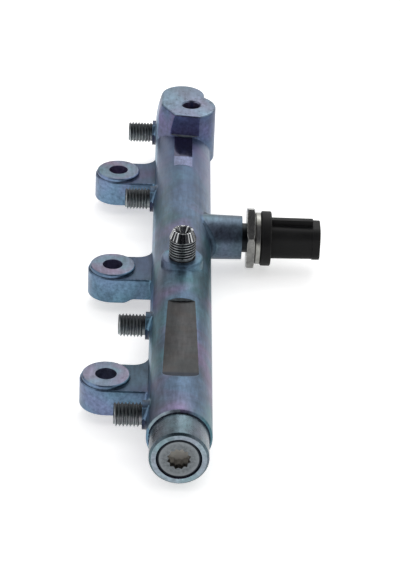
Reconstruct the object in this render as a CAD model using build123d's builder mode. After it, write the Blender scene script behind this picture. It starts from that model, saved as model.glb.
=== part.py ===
from build123d import *
from math import cos, radians, sin, sqrt, tan
import os

# Forged fuel rail of a four-cylinder diesel engine, with its end plug and its pressure sensor.
#
# Frame: the origin lies on the seat of the middle lug, on the axis of its bolt hole. +Y runs along
# the rail from the plug to the closed end, +X from the bolt line to the sensor, and +Z up from the
# seats. Every size is in millimetres. A "reach" is a distance from the axis of the barrel.

# Layout along the rail
lug_pitch = 111.0             # between neighbouring bolt holes
bolt_line_to_axis = 36.6      # bolt holes to the barrel's axis
seat_to_axis = 11.7           # lug seats up to the barrel's axis
outlet_centre_y = 14.5        # middle of the four outlets
outlet_inner_pitch = 140.4    # between the two inner outlets
outlet_pair_pitch = 84.9      # between the two outlets of an end
inlet_y = -13.2
sensor_y = 42.5
front_overhang = 20.4         # outermost outlet to the front shoulder
back_overhang = 13.0          # outermost outlet to the closed end

# Barrel
barrel_r = 16.0
shoulder_chamfer = 1.0
collar_r = 14.4
collar_length = 17.7
collar_edge = 1.1
closed_end_round = 6.0
bore_r = 5.25
bore_end_wall = 7.5           # metal left between the drill's point and the closed end
drill_half_angle = 59.0

# Milled flats on top of the barrel
label_flat_front = -129.7     # front of the round end that the cutter leaves
label_flat_length = 75.6
label_flat_cutter_r = 9.5
label_flat_front_depth = 2.85
label_flat_back_depth = 1.6
top_flat_y = 96.8
top_flat_depth = 0.85
mill_turn = 7.5               # the top flat and the boss's front are milled a little askew

# Lugs
lug_width = 26.0
lug_thickness = 14.1
seat_reach = 7.0              # flat seat, from the bolt hole towards the barrel
arm_relief = 2.4              # underside of the arm above the seat
arm_relief_length = 4.0
arm_relief_round = 4.0
lug_rim_chamfer = 0.6
lug_root_round = 8.0          # on the +Y side of each lug
lug_root_near_round = 1.5     # on the side where a spigot stands close
pad_r = 12.0
pad_rise = 2.0
pad_chamfer = 0.5
bolt_hole_r = 5.3

# Outlet spigots, threaded M12
outlet_collar_r = 7.2
outlet_collar_height = 2.1    # above the barrel's surface
outlet_root_round = 2.2
outlet_thread_r = 6.0
outlet_thread_length = 13.9
outlet_tip_chamfer = 1.0
outlet_mouth_r = 4.0
outlet_bore_r = 1.3
throttle_r = 0.45
throttle_length = 4.0
cone_half_angle = 30.0

# Inlet spigot, threaded M14
inlet_collar_r = 11.1
inlet_collar_height = 1.7     # above the barrel's surface
inlet_collar_chamfer = 0.8
inlet_thread_r = 7.0
inlet_thread_length = 11.4
inlet_crown_length = 4.4
inlet_tip_r = 5.3
inlet_mouth_r = 4.2
inlet_bore_r = 1.6
inlet_root_round = 0.8

# Tapped boss over the closed end
boss_height = 12.0            # above the barrel's surface
boss_r = 15.6
boss_from_end = 33.7
boss_offset_x = 2.6
boss_tail_r = 12.3            # narrower part behind the round one
boss_tail_from_end = 18.4
boss_waist_round = 2.0        # in the corner where the tail meets the round part
boss_waist_reach = 13.0       # level at which the bolt side stands furthest out
boss_waist_flare = 3.1
boss_foot_reach = -4.5
boss_foot_flare = 1.6
boss_foot_round = 1.4
boss_cheek_depth = 2.6        # nearly flat part between the front and the bolt side
boss_cheek_turn = 60.0
boss_cheek_flare = 0.7        # share of the bolt side's flare
boss_cheek_round = 9.0
boss_facet_depth = 2.2        # flat milled on the front
boss_facet_foot_reach = 15.65
boss_edge_round = 1.0
boss_hole_r = 5.0             # M10
boss_hole_offset_x = 4.0
boss_hole_from_end = 31.8
boss_hole_depth = 17.0
boss_hole_chamfer = 0.8

# Sensor boss, tapped M18
sensor_boss_r = 11.95
sensor_boss_root_r = 12.6
sensor_boss_height = 16.8     # above the barrel's surface
sensor_boss_round = 3.0
sensor_thread_r = 9.0
sensor_pocket_r = 6.3
sensor_pocket_depth = 2.5
sensor_seat_reach = 14.0
sensor_channel_r = 1.5

# End plug, threaded M22
plug_thread_r = 11.0
plug_thread_length = 15.5
plug_recess = 0.3             # front face behind the collar's face
plug_edge = 0.7
plug_neck_r = 7.6
plug_neck_length = 4.0
plug_seat_r = 8.5             # where the sealing cone starts
plug_seat_length = 2.6        # part of the cone that the plug's nose covers
socket_squares = 3            # a twelve-point socket is three squares, turned evenly
socket_side = 8.3
socket_depth = 7.5
socket_tip_round = 0.3
thread_clearance = 0.1

# Pressure sensor: steel port
seal_thickness = 1.2
seal_hole_r = 2.2
seal_r = 5.9
nose_r = 6.0
nose_length = 2.3
neck_r = 8.0
neck_length = 4.2
hex_stand_off = 2.6           # hexagon above the boss's face
hex_across_flats = 32.0
hex_thickness = 4.2
hex_chamfer = 0.75
hex_face_r = 17.2
hex_turn = 4.5
rim_r = 13.4
rim_length = 0.5
register_r = 12.2
register_length = 1.9
pedestal_r = 3.4
pedestal_length = 0.6

# Sensing parts inside
diaphragm_height = 3.0
diaphragm_cavity_r = 1.7
diaphragm_wall = 0.5
spacer_height = 2.4
spacer_width = 1.6
board_r = 10.2
board_hole_r = 4.6
board_thickness = 1.0
chip_width = 4.0
chip_height = 3.0
chip_thickness = 0.9
chip_drop = 7.2               # from the sensor's axis
capacitor_length = 1.6
capacitor_width = 0.8
capacitor_spread = 5.6
capacitor_drop = 5.0
spring_strip = 0.2
spring_width = 1.2
spring_rise = 7.0             # from the sensor's axis
spring_mouth = 0.8

# Steel can round the sensor's head
can_r = 14.15
can_edge = 0.3
can_band_length = 2.9
can_sleeve_r = 13.05
can_sleeve_length = 4.4
slide_clearance = 0.05

# Plastic housing with the plug socket
flange_r = 15.0
flange_length = 5.7
flange_round = 0.9
inner_collar_width = 1.6
inner_collar_depth = 3.0
o_ring_groove_depth = 1.1
o_ring_groove_width = 1.5
o_ring_groove_setback = 0.9   # from the housing's floor
shell_length = 26.8
shell_width = 20.0
shell_height = 18.8
shell_corner_r = 6.0
shell_draft = 1.1             # degrees
shell_rim_length = 4.2
shell_wall = 1.8
cavity_depth = 20.0
mouth_round = 0.5
rib_width = 4.0
rib_height = 3.0
rib_round = 0.6
terminal_pitch = 4.2
terminal_count = 3
blade_width = 1.5
blade_thickness = 0.64
blade_length = 12.0
foot_thickness = 0.4
foot_overhang = 0.9           # past the middle of the spring

pick_tolerance = 0.01

# Places worked out from the sizes above
rail_x = bolt_line_to_axis
rail_z = seat_to_axis
lug_ys = [-lug_pitch, 0, lug_pitch]
outlet_inner = outlet_inner_pitch / 2
outlet_outer = outlet_inner + outlet_pair_pitch
outlet_offsets = (-outlet_outer, -outlet_inner, outlet_inner, outlet_outer)
outlet_ys = [outlet_centre_y + offset for offset in outlet_offsets]
shoulder_y = outlet_ys[0] - front_overhang
face_y = shoulder_y - collar_length
end_y = outlet_ys[-1] + back_overhang
outlet_collar_reach = barrel_r + outlet_collar_height
outlet_reach = outlet_collar_reach + outlet_thread_length
inlet_collar_reach = barrel_r + inlet_collar_height
inlet_thread_reach = inlet_collar_reach + inlet_thread_length
inlet_reach = inlet_thread_reach + inlet_crown_length
boss_top_reach = barrel_r + boss_height
sensor_boss_reach = barrel_r + sensor_boss_height
barrel_axis = Axis((rail_x, 0, rail_z), (0, 1, 0))
rail_section = Plane((rail_x, 0, rail_z), x_dir=(0, 1, 0), z_dir=(1, 0, 0))
sensor_section = Plane((rail_x, sensor_y, rail_z), x_dir=(1, 0, 0), z_dir=(0, -1, 0))
sensor_axis = Axis((rail_x, sensor_y, rail_z), (1, 0, 0))


def slope(width, half_angle):
    """Length of a cone that narrows by this much in radius."""
    return width / tan(radians(half_angle))


def milled(x, y, z):
    """Level plane, turned as the boss's front and the top flat are."""
    turn = radians(mill_turn)
    return Plane((x, y, z), x_dir=(cos(turn), -sin(turn), 0), z_dir=(0, 0, 1))


def around(place):
    """Narrow range about a place, for picking the faces or edges that lie there."""
    return place - pick_tolerance, place + pick_tolerance


def across_sensor(reach):
    """Plane square to the sensor's axis, with its own x along +Y and its y along +Z."""
    return Plane((rail_x + reach, sensor_y, rail_z), x_dir=(0, 1, 0), z_dir=(1, 0, 0))


plug_inner_y = face_y + plug_recess + plug_thread_length
seat_start_y = plug_inner_y + plug_neck_length
seat_end_y = seat_start_y + slope(plug_seat_r - bore_r, cone_half_angle)
bore_point_y = end_y - bore_end_wall
bore_end_y = bore_point_y - slope(bore_r, drill_half_angle)


# Tapped boss: a round block with a narrower tail behind it and a flat milled on its front. Its bolt side
# stands further out below the top, until it is flush with the side of the barrel.
boss_x = rail_x + boss_offset_x
boss_y = end_y - boss_from_end
tail_y = end_y - boss_tail_from_end
tail_side_x = boss_x - boss_r + 2 * boss_tail_r
waist_y = boss_y + sqrt(boss_r**2 - (tail_side_x - boss_x) ** 2)
boss_levels = (
    (boss_top_reach, 0),
    (boss_waist_reach, boss_waist_flare),
    (boss_foot_reach, boss_foot_flare),
)
with BuildPart() as tapped_boss:
    for reach, flare in boss_levels:
        tail_r = boss_tail_r + flare / 2
        bolt_side_x = boss_x - boss_r - flare
        with BuildSketch(Plane.XY.offset(rail_z + reach)) as outline:
            with BuildLine():
                Line((bolt_side_x, boss_y), (bolt_side_x, tail_y))
                ThreePointArc(
                    (bolt_side_x, tail_y),
                    (bolt_side_x + tail_r, tail_y + tail_r),
                    (tail_side_x, tail_y),
                )
                Line((tail_side_x, tail_y), (tail_side_x, waist_y))
                ThreePointArc((tail_side_x, waist_y), (boss_x + boss_r, boss_y), (boss_x, boss_y - boss_r))
                EllipticalCenterArc((boss_x, boss_y), boss_r + flare, boss_r, start_angle=180, arc_size=90)
            make_face()
            fillet(outline.vertices().sort_by_distance((tail_side_x, waist_y))[:1], boss_waist_round)
            with Locations(Location((boss_x, boss_y, 0), (0, 0, -boss_cheek_turn))):
                with Locations((0, boss_cheek_depth - boss_r - boss_cheek_flare * flare)):
                    Rectangle(4 * boss_r, boss_r, align=(Align.CENTER, Align.MAX), mode=Mode.SUBTRACT)
            fillet(outline.vertices().sort_by_distance((bolt_side_x, boss_y))[:1], boss_cheek_round)
    loft()
    fillet(tapped_boss.faces().sort_by(Axis.Z)[0].edges(), boss_foot_round)
    with BuildSketch(milled(boss_x, boss_y, rail_z + boss_facet_foot_reach)):
        with Locations((0, boss_facet_depth - boss_r)):
            Rectangle(4 * boss_r, boss_r, align=(Align.CENTER, Align.MAX))
    extrude(amount=boss_top_reach, mode=Mode.SUBTRACT)
    fillet(tapped_boss.faces().sort_by(Axis.Z)[-1].edges(), boss_edge_round)


# Lug: round at the bolt hole, with an arm that rises a little from the seat and reaches into the barrel
with BuildPart() as lug:
    with BuildSketch(Plane.XY):
        Circle(lug_width / 2)
        Rectangle(rail_x, lug_width, align=(Align.MIN, Align.CENTER))
    extrude(amount=lug_thickness)
    with BuildSketch(Plane.XZ):
        with BuildLine():
            FilletPolyline(
                (-lug_width, 0),
                (seat_reach, 0),
                (seat_reach + arm_relief_length, arm_relief),
                (rail_x, arm_relief),
                radius=arm_relief_round,
            )
            Polyline(
                (rail_x, arm_relief),
                (rail_x, lug_thickness),
                (-lug_width, lug_thickness),
                (-lug_width, 0),
            )
        make_face()
    extrude(amount=lug_width, both=True, mode=Mode.INTERSECT)
    with BuildSketch(Plane.XY.offset(lug_thickness)):
        Circle(pad_r)
    extrude(amount=pad_rise)
    chamfer(lug.faces().sort_by(Axis.Z)[-1].edges(), pad_chamfer)


# The forging
with BuildPart() as rail_body:
    # Barrel and front collar
    with BuildSketch(rail_section):
        with BuildLine():
            Polyline(
                (end_y, 0),
                (end_y, barrel_r),
                (shoulder_y + shoulder_chamfer, barrel_r),
                (shoulder_y, barrel_r - shoulder_chamfer),
                (shoulder_y, collar_r),
                (face_y + collar_edge, collar_r),
                (face_y, collar_r - collar_edge),
                (face_y, 0),
                close=True,
            )
        make_face()
    revolve(axis=barrel_axis)
    fillet(rail_body.edges().group_by(Axis.Y)[-1], closed_end_round)

    # Label flat, deeper and round at its front
    fall = (label_flat_front_depth - label_flat_back_depth) / label_flat_length
    flat_start = (rail_x, label_flat_front, rail_z + barrel_r - label_flat_front_depth)
    with BuildSketch(Plane(flat_start, x_dir=(1, 0, 0), z_dir=(0, -fall, 1))):
        with Locations((0, label_flat_cutter_r)):
            Circle(label_flat_cutter_r)
            Rectangle(
                2 * barrel_r,
                label_flat_length - label_flat_cutter_r,
                align=(Align.CENTER, Align.MIN),
            )
    extrude(amount=barrel_r, mode=Mode.SUBTRACT)

    # Top flat, milled with the front of the boss
    with BuildSketch(milled(rail_x, top_flat_y, rail_z + barrel_r - top_flat_depth)):
        Rectangle(4 * barrel_r, boss_y - top_flat_y, align=(Align.CENTER, Align.MIN))
    extrude(amount=barrel_r, mode=Mode.SUBTRACT)

    # Lugs
    with Locations([(0, y, 0) for y in lug_ys]):
        add(lug.part)
    for side, radius in ((1, lug_root_round), (-1, lug_root_near_round)):
        roots = ShapeList()
        for y in lug_ys:
            on_wall = rail_body.edges().filter_by_position(Axis.Y, *around(y + side * lug_width / 2))
            roots += on_wall.sort_by(Axis.X)[-1:]
        fillet(roots, radius)
    rims = ShapeList()
    for top in rail_body.faces().filter_by(Axis.Z).filter_by_position(Axis.Z, *around(lug_thickness)):
        rims += top.outer_wire().edges().sort_by(Axis.X)[:-1]
    chamfer(rims, lug_rim_chamfer)

    # Outlet spigots
    for y in outlet_ys:
        outlet_axis = Axis((rail_x, y, rail_z), (-1, 0, 0))
        outlet_section = Plane((rail_x, y, rail_z), x_dir=(-1, 0, 0), z_dir=(0, 0, 1))
        with BuildSketch(outlet_section):
            with BuildLine():
                Polyline(
                    (0, 0),
                    (0, outlet_collar_r),
                    (outlet_collar_reach, outlet_collar_r),
                    (outlet_collar_reach, 0),
                    close=True,
                )
            make_face()
        revolve(axis=outlet_axis)
        fillet(rail_body.edges(Select.NEW), outlet_root_round)
        with BuildSketch(outlet_section):
            with BuildLine():
                Polyline(
                    (outlet_collar_reach, 0),
                    (outlet_collar_reach, outlet_thread_r),
                    (outlet_reach - outlet_tip_chamfer, outlet_thread_r),
                    (outlet_reach, outlet_thread_r - outlet_tip_chamfer),
                    (outlet_reach, 0),
                    close=True,
                )
            make_face()
        revolve(axis=outlet_axis)

    # Tapped boss
    add(tapped_boss.part)

    # Sensor boss
    with BuildSketch(sensor_section):
        with BuildLine():
            Polyline(
                (0, 0),
                (0, sensor_boss_root_r),
                (sensor_boss_reach, sensor_boss_r),
                (sensor_boss_reach, 0),
                close=True,
            )
        make_face()
    revolve(axis=sensor_axis)
    fillet(rail_body.edges(Select.NEW), sensor_boss_round)

    # Inlet spigot
    inlet_axis = Axis((rail_x, inlet_y, rail_z), (0, 0, 1))
    inlet_section = Plane((rail_x, inlet_y, rail_z), x_dir=(0, 0, 1), z_dir=(1, 0, 0))
    with BuildSketch(inlet_section):
        with BuildLine():
            Polyline(
                (0, 0),
                (0, inlet_collar_r),
                (inlet_collar_reach - inlet_collar_chamfer, inlet_collar_r),
                (inlet_collar_reach, inlet_collar_r - inlet_collar_chamfer),
                (inlet_collar_reach, 0),
                close=True,
            )
        make_face()
    revolve(axis=inlet_axis)
    fillet(rail_body.edges(Select.NEW), inlet_root_round)
    with BuildSketch(inlet_section):
        with BuildLine():
            Polyline(
                (inlet_collar_reach, 0),
                (inlet_collar_reach, inlet_thread_r),
                (inlet_thread_reach, inlet_thread_r),
                (inlet_reach, inlet_tip_r),
                (inlet_reach, 0),
                close=True,
            )
        make_face()
    revolve(axis=inlet_axis)

    # Bolt holes
    with Locations([(0, y, lug_thickness + pad_rise) for y in lug_ys]):
        Hole(bolt_hole_r)

    # Bore, its plug seat and the tapped front end
    with BuildSketch(rail_section):
        with BuildLine():
            Polyline(
                (face_y, 0),
                (face_y, plug_thread_r),
                (plug_inner_y, plug_thread_r),
                (plug_inner_y, plug_seat_r),
                (seat_start_y, plug_seat_r),
                (seat_end_y, bore_r),
                (bore_end_y, bore_r),
                (bore_point_y, 0),
                close=True,
            )
        make_face()
    revolve(axis=barrel_axis, mode=Mode.SUBTRACT)

    # Outlet cones, drillings and throttles
    for y in outlet_ys:
        outlet_axis = Axis((rail_x, y, rail_z), (-1, 0, 0))
        outlet_section = Plane((rail_x, y, rail_z), x_dir=(-1, 0, 0), z_dir=(0, 0, 1))
        with BuildSketch(outlet_section):
            with BuildLine():
                Polyline(
                    (0, 0),
                    (0, throttle_r),
                    (bore_r + throttle_length, throttle_r),
                    (bore_r + throttle_length, outlet_bore_r),
                    (outlet_reach - slope(outlet_mouth_r - outlet_bore_r, cone_half_angle), outlet_bore_r),
                    (outlet_reach, outlet_mouth_r),
                    (outlet_reach, 0),
                    close=True,
                )
            make_face()
        revolve(axis=outlet_axis, mode=Mode.SUBTRACT)

    # Inlet cone and drilling
    with BuildSketch(inlet_section):
        with BuildLine():
            Polyline(
                (0, 0),
                (0, inlet_bore_r),
                (inlet_reach - slope(inlet_mouth_r - inlet_bore_r, cone_half_angle), inlet_bore_r),
                (inlet_reach, inlet_mouth_r),
                (inlet_reach, 0),
                close=True,
            )
        make_face()
    revolve(axis=inlet_axis, mode=Mode.SUBTRACT)

    # Tapped hole in the boss
    hole_y = end_y - boss_hole_from_end
    with BuildSketch(Plane.XY.offset(rail_z + boss_top_reach)):
        with Locations((rail_x + boss_hole_offset_x, hole_y)):
            Circle(boss_hole_r)
    extrude(amount=-boss_hole_depth, mode=Mode.SUBTRACT)
    boss_top = rail_body.faces().filter_by_position(Axis.Z, *around(rail_z + boss_top_reach))
    hole_mouth = (rail_x + boss_hole_offset_x, hole_y, rail_z + boss_top_reach)
    chamfer(boss_top.edges().sort_by_distance(hole_mouth)[:1], boss_hole_chamfer)

    # Sensor hole
    with BuildSketch(sensor_section):
        with BuildLine():
            Polyline(
                (0, 0),
                (0, sensor_channel_r),
                (sensor_seat_reach, sensor_channel_r),
                (sensor_seat_reach, sensor_pocket_r),
                (sensor_seat_reach + sensor_pocket_depth, sensor_pocket_r),
                (sensor_seat_reach + sensor_pocket_depth, sensor_thread_r),
                (sensor_boss_reach, sensor_thread_r),
                (sensor_boss_reach, 0),
                close=True,
            )
        make_face()
    revolve(axis=sensor_axis, mode=Mode.SUBTRACT)
rail_body.part.label = "rail_body"


# End plug: thread, neck, a nose that seals on the cone of the bore, and a twelve-point socket
with BuildPart() as end_plug:
    plug_face_y = face_y + plug_recess
    plug_r = plug_thread_r - thread_clearance
    nose_start_y = seat_start_y + slope(plug_seat_r - plug_neck_r, cone_half_angle)
    nose_end_y = nose_start_y + plug_seat_length
    nose_tip_r = plug_neck_r - plug_seat_length * tan(radians(cone_half_angle))
    with BuildSketch(rail_section):
        with BuildLine():
            Polyline(
                (plug_face_y, 0),
                (plug_face_y, plug_r - plug_edge),
                (plug_face_y + plug_edge, plug_r),
                (plug_inner_y - plug_edge, plug_r),
                (plug_inner_y - plug_edge, plug_neck_r),
                (nose_start_y, plug_neck_r),
                (nose_end_y, nose_tip_r),
                (nose_end_y, 0),
                close=True,
            )
        make_face()
    revolve(axis=barrel_axis)
    socket_centre = (rail_x, plug_face_y, rail_z)
    with BuildSketch(Plane(socket_centre, x_dir=(1, 0, 0), z_dir=(0, 1, 0))) as socket:
        for square in range(socket_squares):
            Rectangle(socket_side, socket_side, rotation=square * 90 / socket_squares)
        tips = socket.vertices().sort_by_distance(socket.sketch.center())[-4 * socket_squares:]
        fillet(tips, socket_tip_round)
    extrude(amount=socket_depth, mode=Mode.SUBTRACT)
end_plug.part.label = "end_plug"


# Places along the sensor, as reaches from the barrel's axis
port_seat = sensor_seat_reach + seal_thickness
nose_end = port_seat + nose_length
hex_start = sensor_boss_reach + hex_stand_off
neck_start = hex_start - neck_length
hex_end = hex_start + hex_thickness
rim_end = hex_end + rim_length
register_end = rim_end + register_length
pedestal_end = register_end + pedestal_length
board_start = register_end + spacer_height
board_end = board_start + board_thickness
band_end = rim_end + can_band_length
sleeve_end = band_end + can_sleeve_length
can_bore_r = register_r + slide_clearance
flange_start = band_end + slide_clearance
flange_end = flange_start + flange_length
floor_start = sleeve_end + slide_clearance
shell_end = flange_end + shell_length
cavity_start = shell_end - cavity_depth
collar_out_r = can_bore_r - slide_clearance
collar_tip = floor_start - inner_collar_depth
groove_r = collar_out_r - o_ring_groove_depth
groove_end = floor_start - o_ring_groove_setback
groove_start = groove_end - o_ring_groove_width
foot_start = floor_start - foot_thickness
spring_height = foot_start - board_end
terminal_offsets = [terminal_pitch * (i - (terminal_count - 1) / 2) for i in range(terminal_count)]


# Seal ring under the sensor's nose
with BuildPart() as sensor_seal:
    with BuildSketch(across_sensor(sensor_seat_reach)):
        Circle(seal_r)
        Circle(seal_hole_r, mode=Mode.SUBTRACT)
    extrude(amount=seal_thickness)
sensor_seal.part.label = "sensor_seal"


# Hexagon of the port, with its corners turned off on both faces
with BuildPart() as hexagon:
    with BuildSketch(across_sensor(hex_start)):
        RegularPolygon(hex_across_flats / 2, 6, major_radius=False, rotation=90 + hex_turn)
    extrude(amount=hex_thickness)
    corner_r = hex_across_flats / 2 / cos(radians(30))
    with BuildSketch(sensor_section):
        with BuildLine():
            Polyline(
                (hex_start, 0),
                (hex_start, hex_face_r),
                (hex_start + hex_chamfer, corner_r),
                (hex_end - hex_chamfer, corner_r),
                (hex_end, hex_face_r),
                (hex_end, 0),
                close=True,
            )
        make_face()
    revolve(axis=sensor_axis, mode=Mode.INTERSECT)


# Port: nose, thread, neck, hexagon, and the seats of the can, the spacer and the diaphragm
with BuildPart() as sensor_port:
    with BuildSketch(sensor_section):
        with BuildLine():
            Polyline(
                (port_seat, sensor_channel_r),
                (port_seat, nose_r),
                (nose_end, nose_r),
                (nose_end, sensor_thread_r - thread_clearance),
                (neck_start, sensor_thread_r - thread_clearance),
                (neck_start, neck_r),
                (hex_end, neck_r),
                (hex_end, rim_r),
                (rim_end, rim_r),
                (rim_end, register_r),
                (register_end, register_r),
                (register_end, pedestal_r),
                (pedestal_end, pedestal_r),
                (pedestal_end, sensor_channel_r),
                close=True,
            )
        make_face()
    revolve(axis=sensor_axis)
    add(hexagon.part)
    with BuildSketch(across_sensor(port_seat)):
        Circle(sensor_channel_r)
    extrude(amount=pedestal_end - port_seat, mode=Mode.SUBTRACT)
sensor_port.part.label = "sensor_port"


# Diaphragm: a steel cup, welded over the end of the channel
with BuildPart() as sensor_diaphragm:
    with BuildSketch(across_sensor(pedestal_end)):
        Circle(pedestal_r)
    extrude(amount=diaphragm_height)
    with BuildSketch(across_sensor(pedestal_end)):
        Circle(diaphragm_cavity_r)
    extrude(amount=diaphragm_height - diaphragm_wall, mode=Mode.SUBTRACT)
sensor_diaphragm.part.label = "sensor_diaphragm"


# Spacer ring that carries the board
with BuildPart() as board_spacer:
    with BuildSketch(across_sensor(register_end)):
        Circle(board_r)
        Circle(board_r - spacer_width, mode=Mode.SUBTRACT)
    extrude(amount=spacer_height)
board_spacer.part.label = "board_spacer"


# Circuit board, its chip and its capacitors
with BuildPart() as circuit_board:
    with BuildSketch(across_sensor(board_start)):
        Circle(board_r)
        Circle(board_hole_r, mode=Mode.SUBTRACT)
    extrude(amount=board_thickness)
circuit_board.part.label = "circuit_board"

with BuildPart() as board_chip:
    with BuildSketch(across_sensor(board_end)):
        with Locations((0, -chip_drop)):
            Rectangle(chip_width, chip_height)
    extrude(amount=chip_thickness)
board_chip.part.label = "board_chip"

with BuildPart() as board_capacitors:
    with BuildSketch(across_sensor(board_end)):
        with Locations((-capacitor_spread, -capacitor_drop), (capacitor_spread, -capacitor_drop)):
            Rectangle(capacitor_width, capacitor_length)
    extrude(amount=capacitor_width)
board_capacitors.part.label = "board_capacitors"


# Can: a band below the plastic flange and a sleeve inside it
with BuildPart() as sensor_can:
    with BuildSketch(sensor_section):
        with BuildLine():
            Polyline(
                (rim_end, can_bore_r),
                (rim_end, can_r - can_edge),
                (rim_end + can_edge, can_r),
                (band_end - can_edge, can_r),
                (band_end, can_r - can_edge),
                (band_end, can_sleeve_r),
                (sleeve_end, can_sleeve_r),
                (sleeve_end, can_bore_r),
                close=True,
            )
        make_face()
    revolve(axis=sensor_axis)
sensor_can.part.label = "sensor_can"


# Housing: flange, inner collar with an O-ring groove, and the shell of the plug socket
with BuildPart() as sensor_housing:
    with BuildSketch(sensor_section):
        with BuildLine():
            Polyline(
                (flange_start, can_sleeve_r + slide_clearance),
                (flange_start, flange_r),
                (flange_end, flange_r),
                (flange_end, 0),
                (floor_start, 0),
                (floor_start, collar_out_r - inner_collar_width),
                (collar_tip, collar_out_r - inner_collar_width),
                (collar_tip, collar_out_r),
                (groove_start, collar_out_r),
                (groove_start, groove_r),
                (groove_end, groove_r),
                (groove_end, collar_out_r),
                (floor_start, collar_out_r),
                (floor_start, can_sleeve_r + slide_clearance),
                close=True,
            )
        make_face()
    revolve(axis=sensor_axis)
    fillet(sensor_housing.edges().filter_by(GeomType.CIRCLE).group_by(SortBy.RADIUS)[-1], flange_round)
    with BuildSketch(across_sensor(flange_end)):
        RectangleRounded(shell_width, shell_height, shell_corner_r)
    extrude(amount=shell_length - shell_rim_length, taper=shell_draft)
    with BuildSketch(across_sensor(shell_end - shell_rim_length)):
        RectangleRounded(shell_width, shell_height, shell_corner_r)
    extrude(amount=shell_rim_length, taper=shell_draft)
    fillet(sensor_housing.faces().sort_by(Axis.X)[-1].edges(), mouth_round)
    with BuildSketch(across_sensor(flange_end)):
        with Locations((0, shell_height / 2)):
            Rectangle(rib_width, 2 * rib_height)
    extrude(amount=shell_length - shell_rim_length)
    rib_top = sensor_housing.faces().filter_by(Axis.Z).filter_by_position(
        Axis.Z, *around(rail_z + shell_height / 2 + rib_height)
    )
    fillet(rib_top.edges().filter_by(Axis.X), rib_round)
    with BuildSketch(across_sensor(shell_end)):
        RectangleRounded(
            shell_width - 2 * shell_wall,
            shell_height - 2 * shell_wall,
            shell_corner_r - shell_wall,
        )
    extrude(amount=-cavity_depth, mode=Mode.SUBTRACT)
    with BuildSketch(across_sensor(floor_start)):
        with Locations([(offset, 0) for offset in terminal_offsets]):
            Rectangle(blade_width, blade_thickness)
    extrude(amount=cavity_start - floor_start, mode=Mode.SUBTRACT)
sensor_housing.part.label = "sensor_housing"


# O-ring between the housing and the can
with BuildPart() as housing_o_ring:
    with BuildSketch(sensor_section):
        with Locations(((groove_start + groove_end) / 2, (groove_r + can_bore_r) / 2)):
            Circle((can_bore_r - groove_r) / 2)
    revolve(axis=sensor_axis)
housing_o_ring.part.label = "housing_o_ring"


# Terminals: a blade in the socket, and a foot under the floor that reaches its spring on the board
terminals = []
springs = []
for number, offset in enumerate(terminal_offsets, start=1):
    with BuildPart() as terminal:
        with BuildSketch(across_sensor(foot_start)):
            with Locations((offset, -blade_thickness / 2)):
                Rectangle(
                    blade_width,
                    blade_thickness / 2 + spring_rise + foot_overhang,
                    align=(Align.CENTER, Align.MIN),
                )
        extrude(amount=foot_thickness)
        with BuildSketch(across_sensor(foot_start)):
            with Locations((offset, 0)):
                Rectangle(blade_width, blade_thickness)
        extrude(amount=cavity_start + blade_length - foot_start)
        chamfer(terminal.faces().sort_by(Axis.X)[-1].edges(), blade_thickness / 4)
    terminal.part.label = f"terminal_{number}"
    terminals.append(terminal)
    with BuildPart() as spring:
        spring_plane = Plane(
            (rail_x + board_end, sensor_y + offset, rail_z + spring_rise), x_dir=(1, 0, 0), z_dir=(0, -1, 0)
        )
        with BuildSketch(spring_plane):
            with Locations((spring_height / 2, 0)):
                Circle(spring_height / 2)
                Circle(spring_height / 2 - spring_strip, mode=Mode.SUBTRACT)
                Rectangle(spring_mouth, spring_height, align=(Align.CENTER, Align.MIN), mode=Mode.SUBTRACT)
        extrude(amount=spring_width / 2, both=True)
    spring.part.label = f"contact_spring_{number}"
    springs.append(spring)


os.makedirs("parts", exist_ok=True)
pieces = [rail_body, end_plug, sensor_seal, sensor_port, sensor_diaphragm, board_spacer, circuit_board]
pieces += [board_chip, board_capacitors, sensor_can, sensor_housing, housing_o_ring, *terminals, *springs]
for piece in pieces:
    export_step(piece.part, f"parts/{piece.part.label}.step")
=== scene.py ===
import bpy
import bmesh
from math import cos, hypot, pi, radians, sin
from mathutils import Matrix, Vector


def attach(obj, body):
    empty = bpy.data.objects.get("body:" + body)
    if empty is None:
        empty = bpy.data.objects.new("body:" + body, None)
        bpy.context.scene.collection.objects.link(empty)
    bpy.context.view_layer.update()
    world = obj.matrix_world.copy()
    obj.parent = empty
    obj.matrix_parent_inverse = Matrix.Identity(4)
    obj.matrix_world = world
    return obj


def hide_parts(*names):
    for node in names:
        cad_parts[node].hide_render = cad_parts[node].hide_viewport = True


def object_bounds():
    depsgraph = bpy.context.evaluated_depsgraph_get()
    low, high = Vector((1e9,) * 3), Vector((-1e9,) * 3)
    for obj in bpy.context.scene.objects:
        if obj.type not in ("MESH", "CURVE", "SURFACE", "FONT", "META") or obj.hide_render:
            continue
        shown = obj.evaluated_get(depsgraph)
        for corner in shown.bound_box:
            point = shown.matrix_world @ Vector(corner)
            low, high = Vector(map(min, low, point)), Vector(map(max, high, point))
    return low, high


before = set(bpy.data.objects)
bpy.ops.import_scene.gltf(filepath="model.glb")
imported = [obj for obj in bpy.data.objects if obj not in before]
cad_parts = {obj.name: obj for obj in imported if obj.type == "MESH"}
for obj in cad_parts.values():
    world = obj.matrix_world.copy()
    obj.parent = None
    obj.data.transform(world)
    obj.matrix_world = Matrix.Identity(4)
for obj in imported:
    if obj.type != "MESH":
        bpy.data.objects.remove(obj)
cad_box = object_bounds()

# ------------------------------------------------------------------------------------------------
# Rail. One steel forging, turned and milled where things fit, then zinc plated and passivated,
# which leaves a matt blue-grey film with teal and violet patches. Its pipe threads are rolled.
# ------------------------------------------------------------------------------------------------
mm = 0.001

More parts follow.
